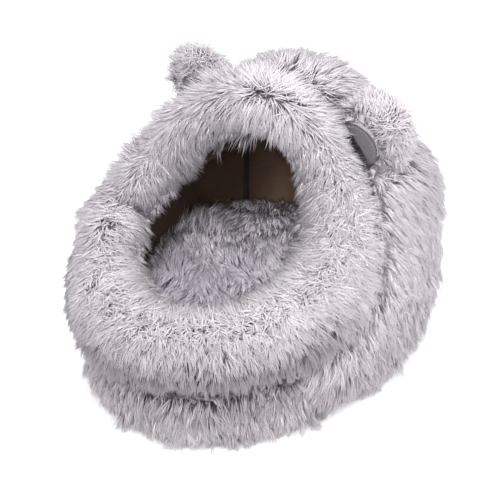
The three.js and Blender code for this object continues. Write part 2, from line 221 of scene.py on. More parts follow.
def unit(v):
    return v / np.maximum(np.linalg.norm(v, axis=1, keepdims=True), 1e-12)


def dot(a, b):
    return np.sum(a * b, axis=1)


def ease(x):
    x = np.clip(x, 0, 1)
    return x * x * (3 - 2 * x)


def ramp(x, start, end):
    """0 up to the start and 1 from the end, with a soft way between them. The end may be the lower one."""
    return ease((x - start) / (end - start))


def near(p, place, reach):
    """1 at a place and 0 away from it."""
    return np.exp(-np.sum((p - place) ** 2, axis=1) / reach ** 2)


def drift(p, size, seed):
    """A smooth wandering value from -1 to 1 that changes over about size millimetres."""
    chance = np.random.default_rng(seed)
    total = np.zeros(len(p))
    for _ in range(5):
        way = chance.normal(size=3)
        way *= 2 * math.pi / (size * MM * np.linalg.norm(way)) * chance.uniform(0.6, 1.3)
        total += np.sin(p @ way + chance.uniform(0, 2 * math.pi))
    return np.clip(total / 2.6, -1, 1)


def roll_frame():
    """Points on the roll's centre line, with the ways along it, into the mouth and to its crest."""
    rows = np.array(ROLL_LINE, dtype=float) * MM
    count, steps = len(rows), 20
    centres = []
    for i in range(count):
        a, b, c, d = rows[i - 1], rows[i], rows[(i + 1) % count], rows[(i + 2) % count]
        for k in range(steps):
            f = k / steps
            centres.append(0.5 * (2 * b + (c - a) * f + (2 * a - 5 * b + 4 * c - d) * f ** 2
                                  + (3 * b - a - 3 * c + d) * f ** 3))
    centres = np.array(centres)
    along = unit(np.roll(centres, -1, axis=0) - np.roll(centres, 1, axis=0))
    inward = MOUTH_MIDDLE - centres
    inward = unit(inward - along * dot(inward, along)[:, None])
    return centres, along, inward, np.cross(along, inward)


CENTRES, ALONG, INWARD, CREST = roll_frame()
ROLL_TREE = kdtree.KDTree(len(CENTRES))
for place, centre in enumerate(CENTRES):
    ROLL_TREE.insert(Vector(centre), place)
ROLL_TREE.balance()


def on_roll(p):
    """Each point's place on the roll's centre line, its angle round it from the mouth, and its distance."""
    found = [ROLL_TREE.find(Vector(q)) for q in p]
    at = np.array([f[1] for f in found])
    away = p - CENTRES[at]
    angle = np.arctan2(dot(away, CREST[at]), dot(away, INWARD[at]))
    return at, angle, np.array([f[2] for f in found])


def past_parting(p, at, angle):
    """How far each point lies past the wandering line where the roll's pile parts, in radians."""
    left = ramp(CENTRES[at][:, 0], -0.06, -0.11)
    degrees = 80 + 75 * arch_share(at) - 24 * left * (1 - arch_share(at))
    line = np.radians(degrees)
    line += 0.3 * drift(p, 75, 15) + 0.2 * drift(p, 28, 16) + 0.5 * drift(p, 6, 17) + 0.4 * drift(p, 3, 18)
    return (angle - line + math.pi) % (2 * math.pi) - math.pi


def arch_share(at):
    """0 on the low front of the roll and 1 on its arch."""
    return ramp(CENTRES[at][:, 2], 0.18, 0.27)


def crease_side(angle):
    """1 on the mouth's side of the roll, where its creases are, and 0 past its crest."""
    return np.clip(np.cos(1.35 * (angle - math.radians(22))), 0, 1) * (np.abs(angle) < 1.7)


def by_crease(at, angle):
    """1 in the deepest crease of the roll and 0 away from it, and the side of it: 1 below, -1 above."""
    middle, _, reach = ROLL_CREASES[0]
    away = at / len(CENTRES) - middle
    return crease_side(angle) * np.exp(-(away / (1.3 * reach)) ** 2), np.tanh(away / reach)


def roll_lie(p, n):
    """The roll's pile parts along its crest: into the mouth on one side, outwards and down on the other."""
    at, angle, _ = on_roll(p)
    around = -np.sin(angle)[:, None] * INWARD[at] + np.cos(angle)[:, None] * CREST[at]
    height = arch_share(at)
    side = np.tanh(past_parting(p, at, angle) / 0.25)
    fall = np.tanh((at / len(CENTRES) - 0.5) / 0.03) * height
    crease, below = by_crease(at, angle)
    left = ramp(CENTRES[at][:, 0], -0.07, -0.10) * (1 - height)
    flow = 0.8 * fall + 0.6 * crease * below + 0.45 * left
    strength = side * (1 - 0.35 * height)
    return strength[:, None] * around + flow[:, None] * ALONG[at] + (0.75 + 0.3 * height)[:, None] * DOWN


def parting_of_roll(p):
    """1 on the line where the roll's pile parts and stands up, and 0 away from it."""
    at, angle, _ = on_roll(p)
    return np.exp(-(past_parting(p, at, angle) / 0.5) ** 2)


def upright(p, parting):
    """Every second tuft on a parting stands up, which hides the roots there."""
    return parting * np.where(drift(p, 5, 19) > 0, 0.5, 0.1)


def beside_roll(p):
    """1 in the groove by the roll, and 0 away from it."""
    _, _, away = on_roll(p)
    return ramp(away, 0.074, 0.058)


def wall_lie(p, n):
    """The hood and wall are combed down, and outwards from the crown."""
    out = p - HOOD_MIDDLE + np.array([0, 0.09, 0])
    out[:, 2] = 0
    crown = ramp(p[:, 2], 0.23, 0.29)
    foot = ramp(p[:, 2], 0.05, 0)
    forward = ramp(p[:, 1], -0.03, -0.06) * ramp(np.abs(p[:, 0]), 0.1, 0.12)
    over_seam = forward[:, None] * np.array([0, -0.9, 0])
    sideways = 0.12 * np.array([1.0, 0.3, 0])
    return DOWN + (0.9 * crown + 0.5 * foot)[:, None] * unit(out) + sideways + over_seam


def cushion_lie(p, n):
    """The cushion's pile leans back and to the left, with swirls."""
    turn = 2.1 + 0.7 * drift(p, 120, 3) + 0.9 * drift(p, 50, 4)
    return np.stack([np.cos(turn), np.sin(turn), np.zeros(len(p))], axis=1)


def ear_lie(parting, felt_middle):
    """An ear's pile spreads from its parting, away from the felt, and hangs."""
    start = np.array(parting) * MM
    middle = np.array([felt_middle[0], 0, felt_middle[1]]) * MM

    def lie(p, n):
        from_felt = (p - middle) * np.array([1, 0, 1])
        beside = np.exp(-np.clip(np.linalg.norm(from_felt, axis=1) - FELT_RADIUS * MM, 0, 1) / 0.012)
        away = 5 * beside * ease(1 - 1.5 * n[:, 1])
        return unit(p - start) + 0.45 * DOWN + unit(from_felt) * away[:, None]

    def tousle(p):
        return 2.6 * near(p, start, 0.014)
    return lie, tousle


def sample_roots(piece, count, share, chance):
    """Places spread over a body by area times a share from 0 to 1, with the smooth way out at each."""
    mesh = piece.data
    mesh.calc_loop_triangles()
    corners = np.empty(len(mesh.loop_triangles) * 3, dtype=np.int64)
    mesh.loop_triangles.foreach_get("vertices", corners)
    corners = corners.reshape(-1, 3)
    points, normals = points_of(piece), normals_of(piece)
    a, b, c = (points[corners[:, k]] for k in range(3))
    area = 0.5 * np.linalg.norm(np.cross(b - a, c - a), axis=1)
    middle, facing = (a + b + c) / 3, unit(normals[corners].mean(axis=1))
    weight = area * np.clip(share(middle, facing), 0, None)
    picked = chance.choice(len(weight), size=count, p=weight / weight.sum())
    u, v = chance.random(count), chance.random(count)
    u, v = np.where(u + v > 1, 1 - u, u)[:, None], np.where(u + v > 1, 1 - v, v)[:, None]
    roots = a[picked] + u * (b - a)[picked] + v * (c - a)[picked]
    ways = [normals[corners[picked, k]] for k in range(3)]
    return roots, unit((1 - u - v) * ways[0] + u * ways[1] + v * ways[2])


def under_ceiling(points):
    """Bends back the strands that would stand far above the top of the solids."""
    over = np.clip(points[:, 2] - CEILING, 0, None)
    points[:, 2] -= over - CEILING_DEPTH * (1 - np.exp(-over / CEILING_DEPTH))
    return points


def grow_pile(piece, count, share, lie, length, rise, shade, seed, tousle=None, gather=None, reach=None,
              vary=1.0):
    """Bent, pointed strands gathered into locks: their roots, widest places and tips, widths and tints.

    These are functions of places on the body, and all but tousle also of the way out there: the share of
    strands, the lie of the pile, its length in millimetres, its rise in radians, its shade (its tone, with
    painted light and shade in it), how much closer it gathers, where its tips reach, and how much it is
    tousled.
    """
    chance = np.random.default_rng(seed)
    roots, out = sample_roots(piece, count, share, chance)
    locks = count // STRANDS_IN_LOCK
    heads = chance.choice(count, size=locks, replace=False)
    tree = kdtree.KDTree(locks)
    for k, head in enumerate(heads):
        tree.insert(Vector(roots[head]), k)
    tree.balance()
    own = np.array([tree.find(Vector(q))[1] for q in roots])

    lock_turn = chance.normal(0, 0.26, locks)
    lock_length = chance.uniform(0.74, 1.14, locks)
    lock_rise = chance.normal(0, 0.13, locks)
    lock_tint = chance.random(locks)

    def strand_ends(p, n, turn, stretch, lift):
        way = lie(p, n)
        way = unit(way - n * dot(way, n)[:, None])
        turn = turn + 0.34 * drift(p, 90, seed + 11) + 0.22 * drift(p, 34, seed + 12)
        way = way * np.cos(turn)[:, None] + np.cross(n, way) * np.sin(turn)[:, None]
        tall = length(p, n) * MM * stretch * (1 + 0.1 * drift(p, 26, seed + 13))
        start = np.clip(rise(p, n) + lift, LEAST_RISE, MOST_RISE)
        end = start * TIP_RISE
        middle = p + (n * np.sin(start)[:, None] + way * np.cos(start)[:, None]) * (BEND * tall)[:, None]
        leave = n * np.sin(end)[:, None] + way * np.cos(end)[:, None] + 0.1 * DOWN
        if reach:
            leave += reach(p, n)
        return middle, middle + unit(leave) * ((1 - BEND) * tall)[:, None]

    head_middle, head_tip = strand_ends(roots[heads], out[heads], lock_turn, lock_length, lock_rise)
    turn = lock_turn[own] + chance.normal(0, 0.1, count)
    loose = tousle(roots) if tousle else np.zeros(count)
    turn += chance.normal(0, 1, count) * loose
    stretch = lock_length[own] * chance.uniform(0.8, 1.04, count)
    middle, tip = strand_ends(roots, out, turn, stretch, lock_rise[own] + chance.normal(0, 0.1, count))
    held = GATHERED + gather(roots, out) if gather else GATHERED
    close = (held * (1 - 0.75 * np.clip(loose, 0, 1)) * chance.uniform(0.55, 1.1, count))[:, None]
    stray = (chance.random(count) < STRAYS)[:, None]
    close = np.where(stray, 0.1, np.clip(close, 0, 0.92))
    to_head = head_middle[own] - middle
    middle = middle + to_head * close * 0.45
    tip = tip + (head_tip[own] - tip) * close
    wide = STRAND_WIDTH * MM * chance.uniform(0.75, 1.2, count)
    uneven = 0.2 * lock_tint[own] + 0.62 * chance.random(count) - 0.41
    uneven += 0.1 * drift(roots, 45, seed + 14)
    # A strand's tint: its own uneven tone, with the painted light and shade that shade gives
    tint = np.clip(shade(roots, out) + vary * uneven, MAP_MARGIN, 1 - MAP_MARGIN)
    middle, tip = under_ceiling(middle), under_ceiling(tip)
    return {"root": roots - out * ROOT_DEPTH, "middle": middle, "tip": tip, "wide": wide, "tint": tint}


def pile_piece(name, strands, slot, finish, keep=slice(None)):
    """One piece of pile. A strand is a closed three-sided spindle: root, three corners at its bend, tip."""
    s = {key: value[keep] for key, value in strands.items()}
    count = len(s["root"])
    spin = np.random.default_rng(count).uniform(0, 2 * math.pi, count)
    run = unit(s["tip"] - s["root"])
    aside = unit(np.cross(run, np.where(np.abs(run[:, 2:3]) < 0.9, UP, np.array([1.0, 0, 0]))))
    over = np.cross(run, aside)
    reach = (0.5 * s["wide"])[:, None]
    points = np.empty((count, 5, 3))
    for k in range(3):
        angle = (spin + 2 * math.pi * k / 3)[:, None]
        points[:, k] = s["middle"] + reach * (np.cos(angle) * aside + np.sin(angle) * over)
    points[:, 3] = s["root"]
    points[:, 4] = s["tip"]
    points[:, :, 2] = np.maximum(points[:, :, 2], FLOOR_GAP)
    faces = np.array([(k, (k + 1) % 3, 4) for k in range(3)] + [((k + 1) % 3, k, 3) for k in range(3)])
    corners = (np.arange(count)[:, None, None] * 5 + faces).ravel()
    mesh = bpy.data.meshes.new(name)
    mesh.vertices.add(count * 5)
    mesh.vertices.foreach_set("co", points.ravel())
    mesh.loops.add(len(corners))
    mesh.loops.foreach_set("vertex_index", corners)
    mesh.polygons.add(len(corners) // 3)
    mesh.polygons.foreach_set("loop_start", np.arange(0, len(corners), 3))
    mesh.polygons.foreach_set("loop_total", np.full(len(corners) // 3, 3))
    up_strand = np.array([BEND, BEND, BEND, MAP_MARGIN, 1 - MAP_MARGIN])
    aside_on_map = np.array([-0.012, 0, 0.012, 0, 0])
    layer = mesh.uv_layers.new(name=STRAND_MAP)
    # The map's second coordinate is the strand's tint, which carries painted light and shade
    uv = np.stack([up_strand[corners % 5], s["tint"][corners // 5] + aside_on_map[corners % 5]], axis=1)
    layer.data.foreach_set("uv", uv.ravel())
    mesh.polygons.foreach_set("use_smooth", np.ones(len(corners) // 3, dtype=bool))
    mesh.update(calc_edges=True)
    mesh.validate()
    piece = bpy.data.objects.new(name, mesh)
    bpy.context.scene.collection.objects.link(piece)
    mesh.materials.append(finish)
    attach(piece, "root")


# Finishes

class Value:
    """A socket of a finish that can be used in sums."""

    def __init__(self, finish, socket):
        self.finish = finish
        self.socket = socket

    def sum(self, operation, a, b):
        return self.finish.node("ShaderNodeMath", {"operation": operation}, {0: a, 1: b})[0]

    def __add__(self, other):
        return self.sum("ADD", self, other)

    def __sub__(self, other):
        return self.sum("SUBTRACT", self, other)

    def __mul__(self, other):
        return self.sum("MULTIPLY", self, other)

    def __pow__(self, other):
        return self.sum("POWER", self, other)

    def __rsub__(self, other):
        return self.sum("SUBTRACT", other, self)

    __radd__ = __add__
    __rmul__ = __mul__


class Finish:
    """A material built from nodes, with one Principled shader."""

    def __init__(self, name, **constants):
        self.material = bpy.data.materials.new(name)
        self.material.use_nodes = True
        self.nodes = self.material.node_tree.nodes
        self.shader = self.nodes["Principled BSDF"]
        for socket, value in constants.items():
            self.shader.inputs[socket.replace("_", " ")].default_value = value

    def node(self, kind, settings, inputs):
        node = self.nodes.new(kind)
        for name, value in settings.items():
            if name == "stops":
                for _ in range(len(value) - 2):
                    node.color_ramp.elements.new(0.5)
                for element, (place, colour) in zip(node.color_ramp.elements, value):
                    element.position = place
                    element.color = (*colour, 1)
            else:
                setattr(node, name, value)
        for key, value in inputs.items():
            self.give(node.inputs[key], value)
        return [Value(self, socket) for socket in node.outputs]

    def give(self, socket, value):
        if isinstance(value, Value):
            self.material.node_tree.links.new(value.socket, socket)
        elif hasattr(value, "__len__") and socket.type == "RGBA":
            socket.default_value = (*value, 1)
        else:
            socket.default_value = value

    def set(self, name, value):
        self.give(self.shader.inputs[name], value)

    def noise(self, place, scale, detail=3.0, roughness=0.55, stretch=None):
        if stretch:
            place = self.node("ShaderNodeMapping", {}, {"Vector": place, "Scale": stretch})[0]
        settings = {"Vector": place, "Scale": scale, "Detail": detail, "Roughness": roughness}
        return self.node("ShaderNodeTexNoise", {}, settings)[0]

    def blend(self, share, a, b, how="MIX"):
        """Mixes two colours."""
        node = self.nodes.new("ShaderNodeMix")
        node.data_type = "RGBA"
        node.blend_type = how
        node.clamp_factor = True
        self.give(node.inputs[0], share)
        self.give(node.inputs[6], a)
        self.give(node.inputs[7], b)
        return Value(self, node.outputs[2])

    def object_place(self):
        return self.node("ShaderNodeTexCoord", {}, {})[3]

    def bump(self, height, strength, distance):
        settings = {"Strength": strength, "Distance": distance, "Height": height}
        return self.node("ShaderNodeBump", {}, settings)[0]


def tone(red, green, blue):
    """A colour of the screen's 0 to 255 scale, in linear light."""
    def linear(v):
        v /= 255
        return v / 12.92 if v <= 0.04045 else ((v + 0.055) / 1.055) ** 2.4
    return linear(red), linear(green), linear(blue)


def pile_finish(name, dark, pale):
    """Long pile. Dark is a dull lock and a lock in painted shade, pale a bright one and a lock in painted
    light, each with the colours of root and tip; the darker root is painted shade deep in the pile.
    """
    finish = Finish(name, Roughness=0.62, Specular_IOR_Level=0.3, Sheen_Weight=0.25, Sheen_Roughness=0.5)
    strand = finish.node("ShaderNodeUVMap", {"uv_map": STRAND_MAP}, {})[0]
    along, tint, _ = finish.node("ShaderNodeSeparateXYZ", {}, {0: strand})
    root = finish.blend(tint, dark[0], pale[0])
    tip = finish.blend(tint, dark[1], pale[1])
    # From root to tip: the darker root is painted shade deep in the pile
    finish.set("Base Color", finish.blend(along * 1.6 - 0.4, root, tip))
    return finish.material


def backing_finish(name, dark, light):
    """Knitted backing under the pile."""
    finish = Finish(name, Roughness=0.9, Specular_IOR_Level=0.2)
    place = finish.object_place()
    tufts = finish.noise(place, 260.0, 3.0, 0.6)
    patch = finish.noise(place, 30.0, 2.0)
    finish.set("Base Color", finish.blend(tufts * 0.7 + patch * 0.3, dark, light))
    finish.set("Normal", finish.bump(tufts, 0.9, 0.004))
    return finish.material


def lining_finish():
    """Pressed nonwoven lining: flat fibres both ways, with faint point bonding, and painted light that makes
    it lighter towards its right and lower down.
    """
    finish = Finish("pressed_lining", Roughness=0.78, Specular_IOR_Level=0.3, Sheen_Weight=0.12)
    place = finish.object_place()
    flat_fibres = finish.noise(place, 420.0, 4.0, 0.65, (1.0, 1.0, 0.22))
    upright_fibres = finish.noise(place, 420.0, 4.0, 0.65, (0.25, 0.25, 1.0))
    cloud = finish.noise(place, 16.0, 3.0)
    bonding = finish.node("ShaderNodeTexVoronoi", {"feature": "F1"}, {"Vector": place, "Scale": 520.0})[0]
    fibres = flat_fibres * 0.5 + upright_fibres * 0.5
    across, _, up = finish.node("ShaderNodeSeparateXYZ", {}, {0: place})
    # Painted light: the lining turns lighter towards its right and lower down, and stays darker higher up;
    # the cloud breaks up the border
    painted_light_share = (across * 22 + 2.0) * (2.0 - up * 12) + cloud * 0.8 - 0.4
    # pressed is the brown as painted in shade, lighter the same brown as painted in light
    pressed = finish.blend(cloud * 0.5 + fibres * 0.5, tone(62, 43, 34), tone(104, 79, 64))
    lighter = finish.blend(cloud * 0.5 + fibres * 0.5, tone(112, 88, 72), tone(156, 130, 110))
    finish.set("Base Color", finish.blend(painted_light_share, pressed, lighter))
    finish.set("Normal", finish.bump(fibres + bonding * 0.35, 0.35, 0.0012))
    finish.set("Roughness", 0.9 - 0.2 * fibres)
    return finish.material


def tape_finish():
    """Ribbed woven tape."""
    finish = Finish("black_tape", Specular_IOR_Level=0.35, Sheen_Weight=0.1)
    place = finish.object_place()
    ribs = finish.node("ShaderNodeTexWave", {"bands_direction": "Z"},
                       {"Vector": place, "Scale": 190.0, "Distortion": 0.6, "Detail": 1.0})[1]
    fray = finish.noise(place, 300.0, 3.0)
    finish.set("Base Color", finish.blend(ribs * 0.5 + fray * 0.5, tone(18, 13, 13), tone(48, 38, 37)))
    finish.set("Roughness", 0.6 + 0.2 * fray)
    finish.set("Normal", finish.bump(ribs + fray * 0.4, 0.6, 0.0008))
    return finish.material


def felt_finish(name, middle):
    """Grey wool felt: matted short fibres, with a painted shadow along its edge where the pile stands over
    it.
    """
    finish = Finish(name, Specular_IOR_Level=0.2, Sheen_Weight=0.35, Sheen_Roughness=0.6)
    place = finish.object_place()
    fibres = finish.noise(place, 520.0, 5.0, 0.7)
    long_fibres = finish.noise(place, 300.0, 4.0, 0.6, (1.0, 1.0, 0.35))
    cloud = finish.noise(place, 60.0, 2.0)
    mat = fibres * 0.5 + long_fibres * 0.3 + cloud * 0.2
    across, _, up = finish.node("ShaderNodeSeparateXYZ", {}, {0: place})
    sideways = across - middle[0] * MM
    upwards = up - middle[1] * MM
    from_middle = (sideways * sideways + upwards * upwards) ** 0.5
    # Painted shadow: a dark ring along the felt's edge, where the ear's pile stands over it
    edge = (from_middle - (FELT_RADIUS - 1.8) * MM) * (1 / (1.2 * MM))
    felt = finish.blend(mat, tone(62, 60, 66), tone(122, 120, 126))
    finish.set("Base Color", finish.blend(edge, felt, tone(66, 64, 70)))
    finish.set("Roughness", 0.8 + 0.15 * fibres)
    finish.set("Normal", finish.bump(mat, 0.6, 0.0012))
    return finish.material


def thread_finish(name, colour):
    """Twisted sewing thread."""
    finish = Finish(name, Roughness=0.55, Specular_IOR_Level=0.4)
    twist = finish.node("ShaderNodeTexWave", {"bands_direction": "DIAGONAL"},
                        {"Vector": finish.object_place(), "Scale": 700.0, "Distortion": 0.2})[1]
    darker = tuple(0.6 * c for c in colour)
    finish.set("Base Color", finish.blend(twist, darker, colour))
    return finish.material


def bottom_finish():
    """Plain woven cloth under the bed."""
    finish = Finish("woven_bottom", Roughness=0.85, Specular_IOR_Level=0.25)
    place = finish.object_place()
    warp = finish.node("ShaderNodeTexWave", {"bands_direction": "X"}, {"Vector": place, "Scale": 160.0})[1]
    weft = finish.node("ShaderNodeTexWave", {"bands_direction": "Y"}, {"Vector": place, "Scale": 160.0})[1]
    slub = finish.noise(place, 90.0, 4.0)
    weave = warp * weft
    finish.set("Base Color", finish.blend(weave * 0.5 + slub * 0.5, tone(104, 99, 106), tone(150, 145, 152)))
    finish.set("Normal", finish.bump(weave + slub * 0.3, 0.5, 0.0008))
    return finish.material


def floor_finish():
    finish = Finish("pale_floor", Roughness=0.9, Specular_IOR_Level=0.1)
    finish.set("Base Color", (0.93, 0.93, 0.93))
    finish.set("Emission Color", (1, 1, 1))
    finish.set("Emission Strength", 0.2)
    return finish.material


# Studio

def set_up_studio():
    turn, height = math.radians(CAMERA_TURN), math.radians(CAMERA_HEIGHT)
    back = Vector((math.sin(turn) * math.cos(height), -math.cos(turn) * math.cos(height), math.sin(height)))
    camera_data = bpy.data.cameras.new("photo_view")
    camera_data.lens = FOCAL_LENGTH / PICTURE_WIDTH * SENSOR_WIDTH
    camera_data.sensor_width = SENSOR_WIDTH
    camera_data.shift_x = PICTURE_SHIFT[0] / PICTURE_WIDTH
    camera_data.shift_y = PICTURE_SHIFT[1] / PICTURE_WIDTH
    camera = bpy.data.objects.new("photo_view", camera_data)
    bpy.context.scene.collection.objects.link(camera)
    camera.location = CAMERA_AIM + back * CAMERA_DISTANCE
    camera.rotation_euler = back.to_track_quat("Z", "Y").to_euler()
    bpy.context.scene.camera = camera

    clear_selection()
    bpy.ops.mesh.primitive_plane_add(size=12)
    floor = bpy.context.active_object
    floor.name = "studio_floor"
    floor.data.materials.append(floor_finish())

    world = bpy.data.worlds.new("studio")
    bpy.context.scene.world = world
    world.use_nodes = True
    background = world.node_tree.nodes["Background"]
    background.inputs["Color"].default_value = (1, 1, 1, 1)
    background.inputs["Strength"].default_value = ROOM_LIGHT
    bpy.context.scene.view_settings.view_transform = "Standard"

    for name, place, aim, size, power, spread in LAMPS:
        light = bpy.data.lights.new(name, "AREA")
        light.energy = power
        light.size = size
        light.spread = math.radians(spread)
        lamp = bpy.data.objects.new(name, light)
        bpy.context.scene.collection.objects.link(lamp)
        lamp.location = place
        back = Vector(place) - Vector(aim)
        lamp.rotation_euler = back.to_track_quat("Z", "Y").to_euler()


# Pieces

def outer_only(depth):
    """Draws in the outer side of the hood or the wall, and leaves the side by the roll and the lining."""
    def drawn_in(p, n):
        return depth * ramp(dot(unit(p - HOOD_MIDDLE), n), 0.05, 0.45)
    return drawn_in


def all_over(depth):
    return lambda p, n: np.full(len(p), float(depth))


def outer_share(p, n):
    """Where the hood and the wall carry pile: their outer side, clear of the roll and the floor."""
    outwards = dot(unit(p - HOOD_MIDDLE), n)
    _, angle, away = on_roll(p)
    turn = np.degrees(angle) % 360
    by_roll = (away < 0.080) & (turn > 120) & (turn < 250)
    share = np.where(by_roll, 1.4 * ramp(outwards, -0.75, -0.45), ramp(outwards, 0.1, 0.35))
    return share * np.where((n[:, 2] < -0.6) & (p[:, 2] < 0.03), 0, 1)


def make_roll():
    body = padded_body("rim_roll", "roll_body", 0.006, all_over(13), 6, 3, 0.004)
    p, n = points_of(body), normals_of(body)
    at, angle, _ = on_roll(p)
    place = at / len(CENTRES)
    for middle, depth, reach in ROLL_CREASES:
        p -= n * (depth * MM * crease_side(angle) * np.exp(-((place - middle) / reach) ** 2))[:, None]
    move_points(body, p)
    body.data.materials.append(BACKING)

    def on_top(at):
        """1 where the arch is highest and its pile falls to both sides."""
        return np.exp(-((at / len(CENTRES) - 0.5) / 0.035) ** 2)

    def near_felt(p):
        return near(p, FELT_BESIDE_ROLL, 0.034)

    def share(p, n):
        at, angle, _ = on_roll(p)
        turn = np.degrees(angle) % 360
        hidden = ramp(turn, 215, 235) * ramp(turn + 25 * arch_share(at), 330, 310)
        denser = 1 + (1.2 + 1.2 * on_top(at)) * parting_of_roll(p)
        return (1 - hidden) * denser * (1 - 0.4 * by_crease(at, angle)[0])

    def to_mouth(angle):
        """1 on the mouth's side of the roll."""
        return np.clip(np.cos(angle + 0.3), 0, 1)

    def left_inside(at, angle):
        return ramp(CENTRES[at][:, 0], -0.085, -0.105) * to_mouth(angle) * (1 - arch_share(at))

    def length(p, n):
        at, angle, _ = on_roll(p)
        outside = np.clip(-np.cos(angle), 0, 1) ** 2
        under = np.clip(-np.cos(angle + 0.5), 0, 1) * (1 - arch_share(at)) * ramp(p[:, 1], -0.06, -0.11)
        shorter = 1 - 0.42 * to_mouth(angle) * arch_share(at)
        shorter *= 1 - 0.4 * by_crease(at, angle)[0]
        shorter *= 1 - 0.35 * left_inside(at, angle)
        return (29 + 2.0 * drift(p, 60, 5) + 9 * outside - 12 * under) * shorter * (1 - 0.5 * near_felt(p))

    def rise(p, n):
        at, angle, _ = on_roll(p)
        lower = np.maximum(left_inside(at, angle), by_crease(at, angle)[0])
        return 0.62 + upright(p, parting_of_roll(p)) * (1 - on_top(at)) - 0.35 * lower

    def reach(p, n):
        at, angle, _ = on_roll(p)
        return INWARD[at] * (-0.7 * np.clip(-np.cos(angle - 0.3), 0, 1))[:, None]

    def front_face(p):
        """1 on the roll's front, below its crest."""
        at, angle, _ = on_roll(p)
        turn = np.degrees(angle) % 360
        front = (1 - arch_share(at)) * ramp(p[:, 1], -0.02, -0.10)
        return ramp(turn, 100, 160) * np.where(turn < 300, 1, 0) * front

    def shade(p, n):
        at, angle, _ = on_roll(p)
        # Painted light and shade in the strands' tint: lighter on the partings, the arch's top and the left
        # side, darker on the front face below the crest and in the deepest crease
        lift = (0.12 + 0.14 * arch_share(at)) * parting_of_roll(p) + 0.3 * on_top(at)
        left = 0.1 * ramp(p[:, 0], -0.06, -0.10)
        return 0.77 - 1.02 * front_face(p) + lift + left - 0.5 * by_crease(at, angle)[0]

    def gather(p, n):
        return 0.32 * front_face(p)

    def tousle(p):
        at, _, _ = on_roll(p)
        return (0.68 + 2.2 * on_top(at)) * parting_of_roll(p)

    strands = grow_pile(body, STRANDS["roll"], share, roll_lie, length, rise, shade, seed=21, tousle=tousle,
                        gather=gather, reach=reach, vary=0.85)
    front = strands["root"][:, 1] < -0.04
    pile_piece("roll_pile_front", strands, "plush", PLUSH, front)
    pile_piece("roll_pile_arch", strands, "plush", PLUSH, ~front)


def make_hood():
    body = padded_body("hood", "hood_body", 0.007, outer_only(13), 8, 0, 0.004)
    body.data.materials.append(BACKING)

    def high(p):
        return ramp(p[:, 2], 0.2, 0.28)

    def right_side(p):
        return ramp(p[:, 0], 0.06, 0.12)

    def share(p, n):
        return outer_share(p, n) * (0.85 + 0.45 * ramp(p[:, 0], 0.02, 0.08))

    def length(p, n):
        return 24 + 4 * high(p) + 7 * right_side(p)

    def rise(p, n):
        return 0.52 + 0.25 * high(p) + 0.1 * beside_roll(p) + 0.1 * right_side(p)

    def shade(p, n):
        # Painted light and shade in the strands' tint: lighter high up and in the groove by the roll, darker
        # towards the floor
        return 0.75 + 0.14 * high(p) + 0.17 * beside_roll(p) - 0.2 * ramp(p[:, 2], 0.09, 0)

    strands = grow_pile(body, STRANDS["hood"], share, wall_lie, length, rise, shade, seed=31, vary=0.62)
    root = strands["root"]
    turn = np.abs(np.degrees(np.arctan2(root[:, 1] - HOOD_MIDDLE[1], root[:, 0])))
    right = turn < 52
    left = turn > 128
    pile_piece("hood_pile_right", strands, "plush", PLUSH, right)
    pile_piece("hood_pile_left", strands, "plush", PLUSH, left)
    pile_piece("hood_pile_back", strands, "plush", PLUSH, ~(right | left))


def make_front_wall():
    body = padded_body("front_wall", "front_wall_body", 0.005, outer_only(13), 8, 0, 0.004)
    body.data.materials.append(BACKING)

    def length(p, n):
        return np.full(len(p), 25.0)

    def rise(p, n):
        return 0.6 + 0.2 * beside_roll(p)

    def shade(p, n):
        # Painted shade in the strands' tint: darker in the groove under the roll
        return 0.7 - 0.25 * beside_roll(p)

    def gather(p, n):
        return np.full(len(p), 0.2)

    strands = grow_pile(body, STRANDS["front_wall"], outer_share, wall_lie, length, rise, shade, seed=41,
                        gather=gather)
    pile_piece("front_wall_pile", strands, "plush", PLUSH_SHADE)


def make_cushion():
    def by_wall(p):
        """1 where the cushion meets the left wall, and 0 away from it."""
        return ramp(p[:, 0], -0.05, -0.08) * ramp(p[:, 1], 0.1, 0.04)

    def drawn_in(p, n):
        return 13 - 12 * by_wall(p)

    body = padded_body("cushion", "cushion_body", 0.006, drawn_in, 6, 4, 0.008)
    p = points_of(body)
    on_top = ramp(p[:, 2], 0.045, 0.065)
    for (x, y), depth, reach in CUSHION_HOLLOWS:
        away = ((p[:, 0] / MM - x) ** 2 + (p[:, 1] / MM - y) ** 2) / reach ** 2
        p[:, 2] -= on_top * depth * MM * 0.5 * np.exp(-away)
    move_points(body, p)
    body.data.materials.append(CUSHION_BACKING)

    def share(p, n):
        return ramp(n[:, 2], -0.2, 0.3) * ramp(p[:, 2], 0.02, 0.04)

    def length(p, n):
        return 22 + 10 * by_wall(p)

    def rise(p, n):
        return 1.05 + 0.2 * drift(p, 70, 6) + 0.2 * by_wall(p)

    def shade(p, n):
        # Painted shade in the strands' tint: darker towards the cushion's front; the drift is the pile's own
        # uneven tone
        return 0.92 + 0.1 * drift(p, 80, 7) - 0.55 * ramp(p[:, 1], 0.03, -0.05)

    strands = grow_pile(body, STRANDS["cushion"], share, cushion_lie, length, rise, shade, seed=51)
    pile_piece("cushion_pile", strands, "cushion_plush", CUSHION_PLUSH)


